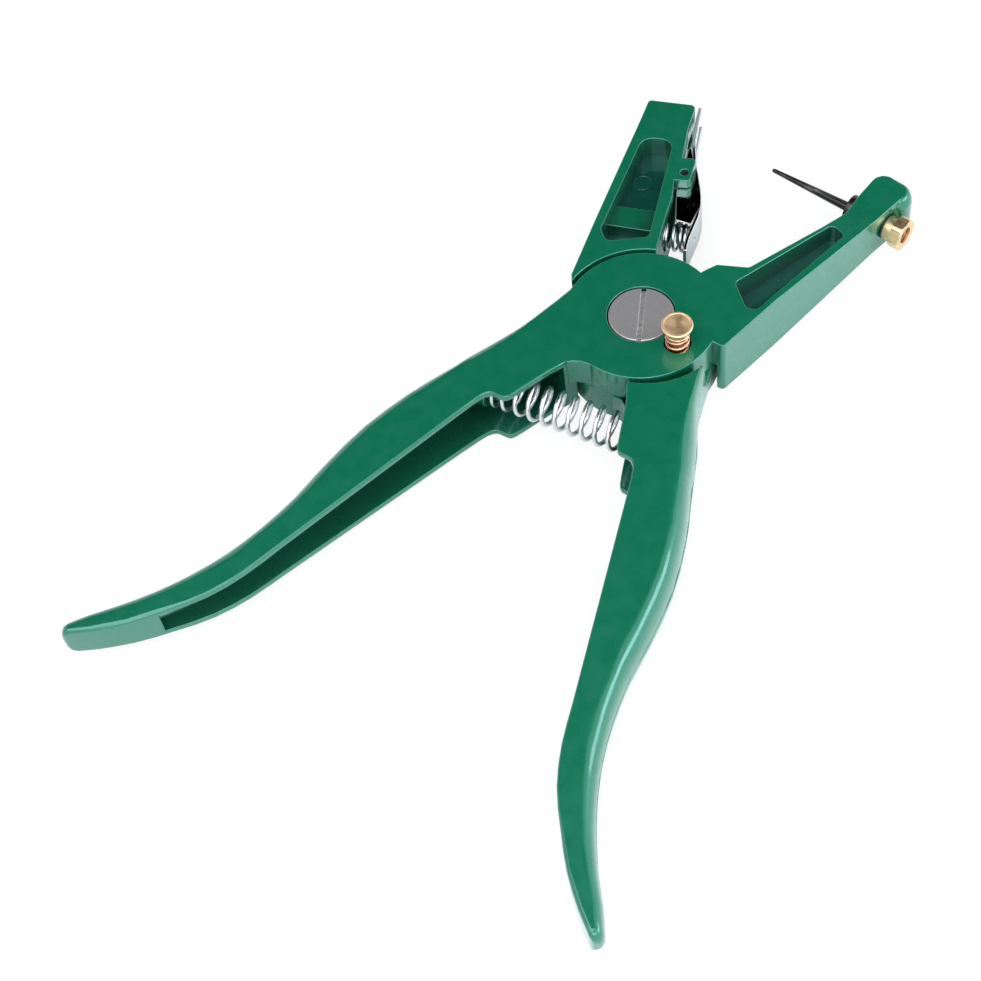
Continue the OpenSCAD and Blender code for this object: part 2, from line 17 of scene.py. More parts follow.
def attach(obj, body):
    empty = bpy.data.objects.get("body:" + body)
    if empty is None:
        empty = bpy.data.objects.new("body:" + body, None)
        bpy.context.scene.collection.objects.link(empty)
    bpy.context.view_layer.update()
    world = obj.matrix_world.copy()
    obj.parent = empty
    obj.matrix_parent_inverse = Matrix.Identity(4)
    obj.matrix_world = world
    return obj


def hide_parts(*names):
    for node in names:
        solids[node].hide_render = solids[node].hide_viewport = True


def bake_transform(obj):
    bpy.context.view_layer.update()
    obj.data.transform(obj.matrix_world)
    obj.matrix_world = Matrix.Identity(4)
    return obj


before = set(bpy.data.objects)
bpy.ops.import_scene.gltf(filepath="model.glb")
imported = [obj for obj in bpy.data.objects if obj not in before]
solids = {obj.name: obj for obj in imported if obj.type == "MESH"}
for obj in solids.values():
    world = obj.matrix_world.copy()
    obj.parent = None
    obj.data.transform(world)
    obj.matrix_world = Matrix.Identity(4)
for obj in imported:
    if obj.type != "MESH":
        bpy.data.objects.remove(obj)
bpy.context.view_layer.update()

MM = 0.001
HUB_TOP = 21 * MM
MIDDLE = 10.5 * MM


def add_object(name, data):
    """New object in the scene, at the origin and unturned."""
    thing = bpy.data.objects.new(name, data)
    bpy.context.scene.collection.objects.link(thing)
    return thing


def math_node(tree, operation, first, second):
    """Result of one math operation on a socket and a socket or number."""
    node = tree.nodes.new("ShaderNodeMath")
    node.operation = operation
    tree.links.new(first, node.inputs[0])
    if isinstance(second, (int, float)):
        node.inputs[1].default_value = second
    else:
        tree.links.new(second, node.inputs[1])
    return node.outputs[0]


# %% [markdown]
# ## Camera
# The view was found by fitting a pinhole camera to the disc, the screw, the handle tips and
# the jaws: a long lens that looks down at 56 degrees and leans a little to one side. The
# directions right, away and up are those of the picture, and the tool is turned 41 degrees
# under them. Lamps are placed in the same directions, which keeps the lighting readable.

# %% Camera of the photograph
TURN, PITCH, LEAN = 0.71551, 0.98567, -0.16843
LENS_IN_PIXELS, PICTURE, SENSOR = 2092.4, 981, 36
OFFSET = np.array([43.182, -50.562, 599.332]) * MM


def studio(right, away, up):
    """A direction of the picture in the tool's own axes: the first two numbers are turned
    about the upright axis by TURN, and the third stays as it is."""
    c, s = math.cos(TURN), math.sin(TURN)
    return np.array([c * right - s * away, s * right + c * away, up])


ahead = studio(0, math.cos(PITCH), -math.sin(PITCH))
level = studio(1, 0, 0)
upward = studio(0, math.sin(PITCH), math.cos(PITCH))
to_right = math.cos(LEAN) * level + math.sin(LEAN) * upward
to_top = -math.sin(LEAN) * level + math.cos(LEAN) * upward
eye = -(OFFSET[0] * to_right - OFFSET[1] * to_top + OFFSET[2] * ahead) + [0, 0, HUB_TOP]

camera_data = bpy.data.cameras.new("camera")
camera_data.sensor_width = SENSOR
camera_data.lens = LENS_IN_PIXELS * SENSOR / PICTURE
camera_data.clip_start, camera_data.clip_end = 0.02, 20
camera = add_object("camera", camera_data)
axes = np.eye(4)
axes[:3, 0], axes[:3, 1], axes[:3, 2], axes[:3, 3] = to_right, to_top, -ahead, eye
camera.matrix_world = Matrix(axes.tolist())
bpy.context.scene.camera = camera
print("camera:", round(camera_data.lens, 2), "mm lens at", (eye / MM).round(1), "mm")

# %% [markdown]
# ## Light
# The photograph is a packshot on white. Walls mirror the white table and turn pale, while
# the flat tops mirror something dark and keep their full green. So the world and the floor
# are white to the camera and to mirrors, soft lamps light the paint at a plain level, and a
# black flag that only mirrors can see hangs behind the tool, where the flat tops look.


# %% World, floor, lamps and flag
def white_for_camera(tree, ordinary, white, kinds=("Camera", "Glossy", "Transmission")):
    """Mix of two shaders by the kind of ray: white where the ray is one of the kinds that
    look at things, and ordinary where it carries light."""
    path = tree.nodes.new("ShaderNodeLightPath")
    seen = path.outputs[f"Is {kinds[0]} Ray"]
    for kind in kinds[1:]:
        seen = math_node(tree, "MAXIMUM", seen, path.outputs[f"Is {kind} Ray"])
    mix = tree.nodes.new("ShaderNodeMixShader")
    tree.links.new(seen, mix.inputs[0])
    tree.links.new(ordinary, mix.inputs[1])
    tree.links.new(white, mix.inputs[2])
    return mix.outputs[0]


world = bpy.data.worlds.new("white studio")
world.use_nodes = True
bpy.context.scene.world = world
tree = world.node_tree
tree.nodes.clear()
SKY_LIGHT = 0.42
sky, backdrop = (tree.nodes.new("ShaderNodeBackground") for _ in range(2))
sky.inputs["Strength"].default_value = SKY_LIGHT
for shader in (sky, backdrop):
    shader.inputs["Color"].default_value = (1, 1, 1, 1)
out = tree.nodes.new("ShaderNodeOutputWorld")
tree.links.new(white_for_camera(tree, sky.outputs[0], backdrop.outputs[0]), out.inputs[0])


def flat_sheet(name, centre, half_x, half_y, normal):
    """Flat rectangle: centre plus half_x and half_y along two directions that are square
    to the normal and to each other."""
    n = np.array(normal) / np.linalg.norm(normal)
    across = np.cross(n, [0, 1, 0] if abs(n[1]) < 0.9 else [1, 0, 0])
    across /= np.linalg.norm(across)
    along = np.cross(n, across)
    corners = np.array([[-1, -1], [1, -1], [1, 1], [-1, 1]])
    points = centre + corners[:, :1] * half_x * across + corners[:, 1:] * half_y * along
    mesh = bpy.data.meshes.new(name)
    mesh.from_pydata(points.tolist(), [], [(0, 1, 2, 3)])
    sheet = add_object(name, mesh)
    return sheet


FLOOR_AT, FLOOR_HALF = np.array([0, -0.04, -0.0004]), 2.5
floor = flat_sheet("floor", FLOOR_AT, FLOOR_HALF, FLOOR_HALF, (0, 0, 1))
white = bpy.data.materials.new("white table")
white.use_nodes = True
tree = white.node_tree
tree.nodes.clear()


def table_white(albedo, strength, colour=(1, 1, 1)):
    """Diffuse white plus a glow: the more of it is glow, the fainter the shadows."""
    matt, glow, both = (
        tree.nodes.new("ShaderNodeBsdfDiffuse"),
        tree.nodes.new("ShaderNodeEmission"),
        tree.nodes.new("ShaderNodeAddShader"),
    )
    matt.inputs["Color"].default_value = (*(albedo * c for c in colour), 1)
    glow.inputs["Strength"].default_value = strength
    tree.links.new(matt.outputs[0], both.inputs[0])
    tree.links.new(glow.outputs[0], both.inputs[1])
    return both.outputs[0]


PALE_BLUE = (0.92, 0.98, 1)
in_mirrors = white_for_camera(tree, table_white(0.8, 0), table_white(0.95, 0.04, PALE_BLUE),
                              ("Glossy", "Transmission"))
out = tree.nodes.new("ShaderNodeOutputMaterial")
tree.links.new(white_for_camera(tree, in_mirrors, table_white(0.2, 0.84), ("Camera",)),
               out.inputs[0])
floor.data.materials.append(white)

black = bpy.data.materials.new("black cloth")
black.use_nodes = True
cloth = black.node_tree.nodes["Principled BSDF"].inputs
cloth["Base Color"].default_value = (0, 0, 0, 1)
cloth["Specular IOR Level"].default_value = 0
FLAG_AT, FLAG_HALF = studio(0, 0.52, 0.8), (0.62, 0.55)
flag = flat_sheet("flag", FLAG_AT, *FLAG_HALF, -FLAG_AT)
flag.visible_camera = flag.visible_diffuse = flag.visible_shadow = False
flag.visible_transmission = False
flag.data.materials.append(black)


def softbox(name, place, width, height, watts, colour=(1, 1, 1)):
    """Area lamp at a place given in picture directions, turned towards the pivot."""
    data = bpy.data.lights.new(name, "AREA")
    data.shape, data.size, data.size_y, data.energy = "RECTANGLE", width, height, watts
    data.color = colour
    lamp = add_object(name, data)
    lamp.location = studio(*place)
    lamp.rotation_euler = Vector(-lamp.location).to_track_quat("-Z", "Y").to_euler()


COOL = (0.86, 0.96, 1)
softbox("key lamp", (-0.3, -0.3, 0.95), 1.0, 1.0, 7)
softbox("side lamp", (0.85, -0.35, 0.4), 0.8, 0.5, 6, COOL)
softbox("front lamp", (0.1, -0.95, 0.4), 0.9, 0.35, 4, COOL)
bpy.context.scene.view_settings.view_transform = "Standard"
print("studio:", len(bpy.data.lights), "lamps and a flag")

# %% [markdown]
# ## Shared surface effects
# Three effects come back in several finishes, so each is a node group that is built once:
# small specks, long streaks along a drawn wire or a ground face, and the fine rings that a
# lathe leaves. Each group puts out a mask between 0 and 1, and the material decides what it
# does with it: tint, roughness or height.


# %% Node groups
def make_group(name, inputs):
    """Empty shader group with a Vector input, value inputs with defaults, and a Mask."""
    group = bpy.data.node_groups.new(name, "ShaderNodeTree")
    group.interface.new_socket("Vector", in_out="INPUT", socket_type="NodeSocketVector")
    for label, value in inputs.items():
        socket = group.interface.new_socket(
            label, in_out="INPUT", socket_type="NodeSocketFloat"
        )
        socket.default_value = value
    group.interface.new_socket("Mask", in_out="OUTPUT", socket_type="NodeSocketFloat")
    start, end = group.nodes.new("NodeGroupInput"), group.nodes.new("NodeGroupOutput")
    return group, start, end


def ramp(tree, source, low, high, low_value=0.0, high_value=1.0):
    """Straight map of a value from low..high to low_value..high_value, clamped."""
    node = tree.nodes.new("ShaderNodeMapRange")
    for i, value in enumerate((low, high, low_value, high_value)):
        node.inputs[i + 1].default_value = value
    tree.links.new(source, node.inputs[0])
    return node.outputs[0]


def noise(tree, vector, scale, detail=2.0, roughness=0.5):
    """Cloudy noise whose blobs are about 1 / scale metres wide."""
    node = tree.nodes.new("ShaderNodeTexNoise")
    node.inputs["Detail"].default_value = detail
    node.inputs["Roughness"].default_value = roughness
    if isinstance(scale, (int, float)):
        node.inputs["Scale"].default_value = scale
    else:
        tree.links.new(scale, node.inputs["Scale"])
    tree.links.new(vector, node.inputs["Vector"])
    return node.outputs["Fac"]


specks, start, end = make_group("specks", {"Scale": 2000.0, "Share": 0.3})
cells = specks.nodes.new("ShaderNodeTexVoronoi")
specks.links.new(start.outputs["Vector"], cells.inputs["Vector"])
specks.links.new(start.outputs["Scale"], cells.inputs["Scale"])
inside = math_node(specks, "SUBTRACT", start.outputs["Share"], cells.outputs["Distance"])
specks.links.new(ramp(specks, inside, 0, 0.12), end.inputs["Mask"])

streaks, start, end = make_group("streaks", {"Scale": 300.0, "Sharp": 0.5})
cloud = noise(streaks, start.outputs["Vector"], start.outputs["Scale"], 3, 0.6)
drawn = math_node(streaks, "POWER", ramp(streaks, cloud, 0.34, 0.66), start.outputs["Sharp"])
streaks.links.new(drawn, end.inputs["Mask"])

rings, start, end = make_group("lathe rings", {"Scale": 2000.0, "Drift": 0.4})
wave = rings.nodes.new("ShaderNodeTexWave")
wave.wave_type, wave.rings_direction, wave.wave_profile = "RINGS", "Z", "TRI"
rings.links.new(start.outputs["Vector"], wave.inputs["Vector"])
rings.links.new(start.outputs["Scale"], wave.inputs["Scale"])
rings.links.new(start.outputs["Drift"], wave.inputs["Distortion"])
wave.inputs["Detail Scale"].default_value = 0.02
rings.links.new(wave.outputs["Fac"], end.inputs["Mask"])
print("groups:", [g.name for g in (specks, streaks, rings)])

# %% [markdown]
# ## Finishes
# The paint is a thick gloss coat over a casting: full green, a slight orange peel, and slow
# waves of the metal below that bend the reflections in the walls. In pockets, channels and
# corners the green is darkened as painted shade, and the pocket floors carry a darker,
# mottled painted shade. The clip is chromed, the springs are bright drawn wire, the screw
# is satin steel with specks, the nut and the button are turned brass, the nut's bore is a
# darker brown that is partly its own colour and partly painted shade, and the needle is
# blackened steel with pale streaks.


# %% Materials
class Finish:
    """A material with one Principled shader, and short ways to feed its sockets."""

    def __init__(self, name, **values):
        self.material = bpy.data.materials.new(name)
        self.material.use_nodes = True
        self.tree = self.material.node_tree
        self.shader = self.tree.nodes["Principled BSDF"]
        for socket, value in values.items():
            self.shader.inputs[socket.replace("_", " ")].default_value = value
        self.material.diffuse_color = self.shader.inputs["Base Color"].default_value

    def place(self, scale=(1, 1, 1), centre=(0, 0, 0), turn=(0, 0, 0), uv=None):
        """Coordinates on the piece: its own object space or UV map, moved, turned, scaled."""
        if uv:
            source = self.tree.nodes.new("ShaderNodeUVMap")
            source.uv_map = uv
            source = source.outputs[0]
        else:
            source = self.tree.nodes.new("ShaderNodeTexCoord").outputs["Object"]
        move = self.tree.nodes.new("ShaderNodeMapping")
        move.vector_type = "TEXTURE"
        move.inputs["Location"].default_value = centre
        move.inputs["Rotation"].default_value = turn
        move.inputs["Scale"].default_value = [1 / s for s in scale]
        self.tree.links.new(source, move.inputs["Vector"])
        return move.outputs[0]

    def use(self, group, vector, **values):
        """One of the shared groups on this material, with its own values."""
        node = self.tree.nodes.new("ShaderNodeGroup")
        node.node_tree = group
        for label, value in values.items():
            node.inputs[label].default_value = value
        self.tree.links.new(vector, node.inputs["Vector"])
        return node.outputs["Mask"]

    def tint(self, mask, low, high):
        """Colour between low and high by the mask."""
        mix = self.tree.nodes.new("ShaderNodeMix")
        mix.data_type = "RGBA"
        self.tree.links.new(mask, mix.inputs[0])
        for socket, colour in ((6, low), (7, high)):
            if isinstance(colour, tuple):
                mix.inputs[socket].default_value = (*colour, 1)
            else:
                self.tree.links.new(colour, mix.inputs[socket])
        return mix.outputs[2]

    def feed(self, socket, source):
        self.tree.links.new(source, self.shader.inputs[socket])

    def bump(self, height, depth, before=None):
        """Bump of the given depth in metres, on top of an earlier one."""
        node = self.tree.nodes.new("ShaderNodeBump")
        node.inputs["Strength"].default_value = 1
        node.inputs["Distance"].default_value = depth
        self.tree.links.new(height, node.inputs["Height"])
        if before is not None:
            self.tree.links.new(before, node.inputs["Normal"])
        return node.outputs["Normal"]


GREEN, GREEN_DEEP = (0.002, 0.148, 0.073), (0.002, 0.138, 0.067)
paint = Finish(
    "green paint", Base_Color=(*GREEN, 1), Roughness=0.3, Coat_Weight=1.0,
    Coat_Roughness=0.06, Coat_IOR=1.4, IOR=1.75, Specular_Tint=(0.42, 1, 1, 1),
)
where = paint.place()
top_coat = paint.tint(noise(paint.tree, where, 45, 3), GREEN_DEEP, GREEN)


def on_level(finish, height, reach):
    """Mask that is 1 on faces that look up and lie within reach of a height, else 0."""
    at, face = (finish.tree.nodes.new("ShaderNodeSeparateXYZ") for _ in range(2))
    finish.tree.links.new(finish.place(), at.inputs[0])
    finish.tree.links.new(finish.tree.nodes.new("ShaderNodeNewGeometry").outputs["Normal"],
                          face.inputs[0])
    off = math_node(finish.tree, "SUBTRACT", at.outputs["Z"], height)
    off = math_node(finish.tree, "ABSOLUTE", off, 0)
    return math_node(finish.tree, "MULTIPLY", ramp(finish.tree, off, reach / 2, reach, 1, 0),
                     ramp(finish.tree, face.outputs["Z"], 0.8, 0.95))


# Painted shade: the paint's own ambient occlusion, counted on each piece alone, darkens the
# green in pockets, channels and corners.
HOLLOW_SHADE_GREEN, HOLLOW_SHADE_REACH = (0.005, 0.068, 0.035), 20 * MM
# Painted shade: up-facing faces at the height of the pocket floors get a darker green, mottled
# by noise.
POCKET_SHADE_DEEP, POCKET_SHADE_PALE = (0.003, 0.05, 0.036), (0.004, 0.1, 0.066)
POCKET_FLOOR = 12 * MM
open_air = paint.tree.nodes.new("ShaderNodeAmbientOcclusion")
open_air.samples, open_air.only_local = 16, True
open_air.inputs["Distance"].default_value = HOLLOW_SHADE_REACH
openness = ramp(paint.tree, open_air.outputs["AO"], 0.42, 0.92)
# Painted shade in the hollows: enclosed faces blend towards the deep green.
with_hollow_shade = paint.tint(openness, HOLLOW_SHADE_GREEN, top_coat)
pocket_shade = paint.tint(noise(paint.tree, where, 260, 4), POCKET_SHADE_DEEP, POCKET_SHADE_PALE)
# Base colour: painted shade in the hollows, and the darker mottled painted shade on the pocket
# floors.
paint.feed("Base Color",
           paint.tint(on_level(paint, POCKET_FLOOR, 0.3 * MM), with_hollow_shade, pocket_shade))
slow = paint.bump(noise(paint.tree, where, 110, 2), 0.12 * MM)
peel = paint.bump(noise(paint.tree, where, 750, 1), 0.005 * MM, slow)
dust = paint.use(specks, where, Scale=900, Share=0.05)
paint.feed("Normal", paint.bump(dust, 0.01 * MM, peel))
paint.feed("Roughness", ramp(paint.tree, noise(paint.tree, where, 200), 0.3, 0.7, 0.24, 0.36))

satin = Finish("screw steel", Base_Color=(0.42, 0.41, 0.42, 1), Metallic=0.8, Roughness=0.45)
where = satin.place()
pits = satin.use(specks, where, Scale=2600, Share=0.34)
grain = noise(satin.tree, where, 3200, 2, 0.7)
satin.feed("Base Color", satin.tint(pits, (0.46, 0.45, 0.46), (0.3, 0.29, 0.3)))
satin.feed("Roughness", ramp(satin.tree, grain, 0.3, 0.7, 0.36, 0.58))
satin.feed("Normal", satin.bump(grain, 0.03 * MM, satin.bump(pits, 0.02 * MM)))

wire = Finish("spring steel", Base_Color=(0.8, 0.81, 0.83, 1), Metallic=1.0, Roughness=0.28)
where = wire.place(scale=(1, 40, 1), uv="run")
drawn = wire.use(streaks, where, Scale=1.2, Sharp=1.0)
wire.feed("Base Color", wire.tint(drawn, (0.74, 0.75, 0.77), (0.9, 0.91, 0.92)))
wire.feed("Roughness", ramp(wire.tree, drawn, 0, 1, 0.22, 0.34))

copper = Finish("copper wire", Base_Color=(0.72, 0.4, 0.26, 1), Metallic=1.0, Roughness=0.2)
where = copper.place(scale=(1, 40, 1), uv="run")
drawn = copper.use(streaks, where, Scale=1.2, Sharp=1.0)
copper.feed("Base Color", copper.tint(drawn, (0.6, 0.32, 0.2), (0.85, 0.52, 0.38)))
copper.feed("Roughness", ramp(copper.tree, drawn, 0, 1, 0.14, 0.28))

chrome = Finish("clip chrome", Base_Color=(0.78, 0.79, 0.8, 1), Metallic=1.0, Roughness=0.07)
where = chrome.place()
dents = noise(chrome.tree, where, 160, 1)
rub = chrome.use(streaks, chrome.place(scale=(1, 1, 12)), Scale=240, Sharp=1.5)
chrome.feed("Normal", chrome.bump(dents, 0.06 * MM))
in_place = chrome.tree.nodes.new("ShaderNodeSeparateXYZ")
chrome.tree.links.new(chrome.place(), in_place.inputs[0])
on_prong = ramp(chrome.tree, in_place.outputs["Y"], 64 * MM, 67 * MM, 0, 0.5)
chrome.feed("Roughness", math_node(chrome.tree, "MAXIMUM",
                                   ramp(chrome.tree, rub, 0, 1, 0.04, 0.16), on_prong))

edge_steel = Finish("rubbed edge", Base_Color=(0.8, 0.8, 0.82, 1), Metallic=0.85,
                    Roughness=0.4)
rubs = edge_steel.use(streaks, edge_steel.place(), Scale=700, Sharp=1.0)
edge_steel.feed("Base Color", edge_steel.tint(rubs, (0.62, 0.62, 0.65), (0.92, 0.92, 0.94)))
edge_steel.feed("Roughness", ramp(edge_steel.tree, rubs, 0, 1, 0.5, 0.3))

BUTTON_TURN, BUTTON_REACH = math.radians(-14.6), 14.6 * MM
BUTTON_AT = np.array([math.cos(BUTTON_TURN), math.sin(BUTTON_TURN)]) * BUTTON_REACH
NEEDLE_TURN = math.radians(174.9)
NEEDLE_FROM = np.array([32.35 * MM, 71.12 * MM, MIDDLE])


def brass_finish(name, centre, turn, matt):
    """Turned brass: rings about the piece's own axis bend the light into bright sectors."""
    brass = Finish(name, Base_Color=(0.86, 0.6, 0.33, 1), Metallic=1.0, Roughness=matt)
    about_axis = brass.place(centre=centre, turn=turn)
    cut = brass.use(rings, about_axis, Scale=900, Drift=0.2)
    cloud = noise(brass.tree, about_axis, 500, 3)
    brass.feed("Base Color", brass.tint(cloud, (0.8, 0.54, 0.31), (0.96, 0.72, 0.44)))
    brass.feed("Normal", brass.bump(cut, 0.025 * MM))
    brass.feed("Roughness", ramp(brass.tree, cloud, 0.3, 0.7, matt - 0.05, matt + 0.05))
    return brass


button_brass = brass_finish("button brass", (*BUTTON_AT, 0), (0, 0, 0), 0.43)
button_brass.shader.inputs["Anisotropic"].default_value = 0.6
nut_brass = brass_finish("nut brass", tuple(NEEDLE_FROM), (0, math.pi / 2, NEEDLE_TURN), 0.36)

# Darker coppery brown for the threaded bore: partly the thread's own colour, partly painted
# shade deep in the bore.
bore_brass_and_shade = Finish("bore brass and shade", Base_Color=(0.45, 0.2, 0.08, 1), Metallic=0.9, Roughness=0.4)
bore_cloud = noise(bore_brass_and_shade.tree, bore_brass_and_shade.place(), 900, 3)
bore_brass_and_shade.feed("Base Color",
                bore_brass_and_shade.tint(bore_cloud, (0.3, 0.12, 0.045), (0.6, 0.3, 0.14)))

dark = Finish("black steel", Base_Color=(0.02, 0.02, 0.022, 1), Metallic=0.3, Roughness=0.3)
where = dark.place(scale=(1, 8, 1), uv="run")
worn = dark.use(streaks, where, Scale=1.2, Sharp=5.0)
dark.feed("Base Color", dark.tint(worn, (0.012, 0.012, 0.014), (0.2, 0.19, 0.19)))
dark.feed("Roughness", ramp(dark.tree, worn, 0, 1, 0.22, 0.4))

blued = Finish("blued steel", Base_Color=(0.03, 0.03, 0.033, 1), Metallic=0.5, Roughness=0.35)
blue_grain = noise(blued.tree, blued.place(), 1500, 2)
blued.feed("Base Color", blued.tint(blue_grain, (0.015, 0.015, 0.017), (0.06, 0.058, 0.06)))
blued.feed("Normal", blued.bump(blue_grain, 0.01 * MM))
print("finishes:", len(bpy.data.materials))

# %% [markdown]
# ## A mesh from a grid of points
# Every new piece is a grid: one parameter runs along it and one round it. The helper joins
# the grid into quads, closes it round, caps its ends, writes a UV map called run that
# measures along and round, and turns all faces outwards.


# %% Grid helper
UV_UNIT = 10 * MM


def grid_piece(name, points, finish, caps=True, sharp=35):
    """Mesh over an array of rows by columns by 3. Column n joins column 0 again, and the
    first and last rows are closed by one face each."""
    rows, cols = points.shape[:2]
    index = np.arange(rows * cols).reshape(rows, cols)
    after = np.roll(index, -1, axis=1)
    quads = np.stack([index[:-1], after[:-1], after[1:], index[1:]], axis=-1).reshape(-1, 4)
    faces = quads.tolist()
    if caps:
        faces += [index[0][::-1].tolist(), index[-1].tolist()]
    mesh = bpy.data.meshes.new(name)
    mesh.from_pydata(points.reshape(-1, 3).tolist(), [], faces)
    run = np.concatenate(
        [[0], np.cumsum(np.linalg.norm(np.diff(points.mean(1), axis=0), axis=1))]
    )
    if run[-1] < 1e-5:  # a closed ring, whose rows all have the same middle
        run = np.linspace(0, UV_UNIT, rows)
    uv = np.stack(np.meshgrid(run / UV_UNIT, np.arange(cols) / cols, indexing="ij"), -1)
    layer = mesh.uv_layers.new(name="run")
    corner = np.zeros(len(mesh.loops), np.int32)
    mesh.loops.foreach_get("vertex_index", corner)
    layer.data.foreach_set("uv", uv.reshape(-1, 2)[corner].astype(np.float32).ravel())
    solid = bmesh.new()
    solid.from_mesh(mesh)
    bmesh.ops.remove_doubles(solid, verts=solid.verts, dist=1e-7)
    bmesh.ops.recalc_face_normals(solid, faces=solid.faces)
    solid.to_mesh(mesh)
    solid.free()
    mesh.shade_smooth()
    mesh.set_sharp_from_angle(angle=math.radians(sharp))
    mesh.materials.append(finish.material)
    piece = add_object(name, mesh)
    print("made", name, len(mesh.polygons), "faces")
    return piece


def face_centres(mesh):
    """Middle of every face, one row each."""
    centres = np.empty(len(mesh.polygons) * 3)
    mesh.polygons.foreach_get("center", centres)
    return centres.reshape(-1, 3)


def axes_along(origin, turn):
    """Origin and three axes for a part that points along a level direction: its own z is
    that direction, its own x points down and its own y to the side."""
    c, s = math.cos(turn), math.sin(turn)
    return np.array(origin), np.array([[0, 0, -1], [-s, c, 0], [c, s, 0]])


def axes_up(origin):
    """Origin and axes for an upright part."""
    return np.array(origin), np.eye(3)


def turned(profile, axes, sides=96):
    """Turned surface: each profile pair (radius, height) in millimetres goes round the
    part's z axis as radius * (cos a, sin a) with its height."""
    origin, basis = axes
    radius, height = np.array(profile, float).T * MM
    angle = np.linspace(0, 2 * np.pi, sides, endpoint=False)
    local = np.stack(
        [
            radius[:, None] * np.cos(angle),
            radius[:, None] * np.sin(angle),
            np.repeat(height[:, None], sides, axis=1),
        ],
        axis=-1,
    )
    return origin + local @ basis


def rounded_profile(corners, radius, steps=4):
    """Profile with each inner corner replaced by a short curve: a point t of the way is
    (1-t)^2 * before + 2t(1-t) * corner + t^2 * after, with before and after radius away."""
    corners = np.array(corners, float)
    out = [corners[0]]
    for before, corner, after in zip(corners, corners[1:], corners[2:]):
        reach = [min(radius, 0.45 * np.linalg.norm(p - corner)) for p in (before, after)]
        a = corner + (before - corner) / np.linalg.norm(before - corner) * reach[0]
        b = corner + (after - corner) / np.linalg.norm(after - corner) * reach[1]
        t = np.linspace(0, 1, steps)[:, None]
        out.extend((1 - t) ** 2 * a + 2 * t * (1 - t) * corner + t**2 * b)
    out.append(corners[-1])
    return np.array(out)


# %% [markdown]
# ## The two castings
# The levers keep the exact solids of the frame. Thick paint rounds every edge of the real
# castings, and those rounds catch the thin pale lines of light, so each lever is a merged
# copy of its solid with its outer edges bevelled by a third of a millimetre.


# %% Levers
def softened(node, name, width, finish, body, segments=3, limit=38, flat=0.8,
             merge=0.002, edge_finish=None):
    """Copy of a CAD solid with its triangles merged into flat faces and its outward edges
    rounded, where they bend by more than the limit. The bevel is applied before the sharp
    edges are set, so that flat faces keep one normal each."""
    mesh = solids[node].data.copy()
    mesh.name = name
    solid = bmesh.new()
    solid.from_mesh(mesh)
    bmesh.ops.remove_doubles(solid, verts=solid.verts, dist=merge * MM)
    bmesh.ops.dissolve_degenerate(solid, edges=solid.edges, dist=max(merge, 0.02) * MM)
    bmesh.ops.dissolve_limit(
        solid, angle_limit=math.radians(flat), verts=solid.verts, edges=solid.edges
    )
    weight = solid.edges.layers.float.new("bevel_weight_edge")
    count = 0
    for edge in solid.edges:
        if edge.is_manifold and edge.calc_face_angle_signed() > math.radians(limit):
            edge[weight] = 1
            count += 1
    open_edges = sum(not e.is_manifold for e in solid.edges)
    solid.to_mesh(mesh)
    solid.free()
    mesh.materials.clear()
    mesh.materials.append(finish.material)
    piece = add_object(name, mesh)
    bevel = piece.modifiers.new("paint edge", "BEVEL")
    bevel.width, bevel.segments, bevel.limit_method = width, segments, "WEIGHT"
    bevel.use_clamp_overlap = False
    bevel.miter_outer = "MITER_ARC"
    if edge_finish:
        mesh.materials.append(edge_finish.material)
        bevel.material = 1
    done = bpy.data.meshes.new_from_object(piece.evaluated_get(
        bpy.context.evaluated_depsgraph_get()))
    piece.modifiers.clear()
    piece.data = done
    done.name = name
    done.shade_smooth()
    done.set_sharp_from_angle(angle=math.radians(limit))
    lean = piece.modifiers.new("face normals", "WEIGHTED_NORMAL")
    lean.mode, lean.weight, lean.keep_sharp = "FACE_AREA", 50, True
    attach(piece, body)
    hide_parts(node)
    print("softened", name, count, "edges rounded,", open_edges, "open edges")
    return piece


PAINT_ROUND, CLIP_ROUND = 0.35 * MM, 0.3 * MM
softened("pin_lever", "pin_casting", PAINT_ROUND, paint, "needle_side")
softened("clip_lever", "clip_casting", PAINT_ROUND, paint, "clip_side")

# %% [markdown]
# ## Rounded end of the needle jaw
# The casting swells at the outer corner of the needle jaw, and its end wall runs smoothly
# into that swelling. The shell below is a tapered stadium: at each height it is the outline
# round two circles, one in each corner of the jaw's end.


# %% Jaw end
def stadium(centres, radii, heights, sides=96):
    """At each height, the outline round two circles with the centres a and b. A direction n
    belongs to circle b where n . (b - a) is over the difference of the radii, else to a, and
    the point is that circle's centre plus its radius times n."""
    a, b = np.array(centres, float)
    angle = np.linspace(0, 2 * np.pi, sides, endpoint=False)
    n = np.stack([np.cos(angle), np.sin(angle)], -1)
    far = (n @ (b - a))[None, :] > (radii[:, :1] - radii[:, 1:])
    centre = np.where(far[..., None], b, a)
    radius = np.where(far, radii[:, 1:], radii[:, :1])
    flat = centre + radius[..., None] * n
    height = np.repeat(heights[:, None], sides, 1)
    return np.concatenate([flat, height[..., None]], -1)


JAW_END_CENTRES, JAW_END_HALF_HEIGHT = [(37.04, 78.27), (41.3, 77.8)], 7.37
MIDDLE_MM = MIDDLE / MM
lift = np.linspace(-1, 1, 41)
swell = 3.15 + 1.72 * (1 - np.abs(lift) ** 3.2) ** 0.62
corner = 3.5 + 0.33 * (1 - np.abs(lift) ** 14) ** 0.5
jaw_end = grid_piece(
    "jaw_end",
    stadium(JAW_END_CENTRES, np.stack([corner, swell], -1),
            MIDDLE_MM + lift * JAW_END_HALF_HEIGHT) * MM,
    paint, sharp=50)
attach(jaw_end, "needle_side")
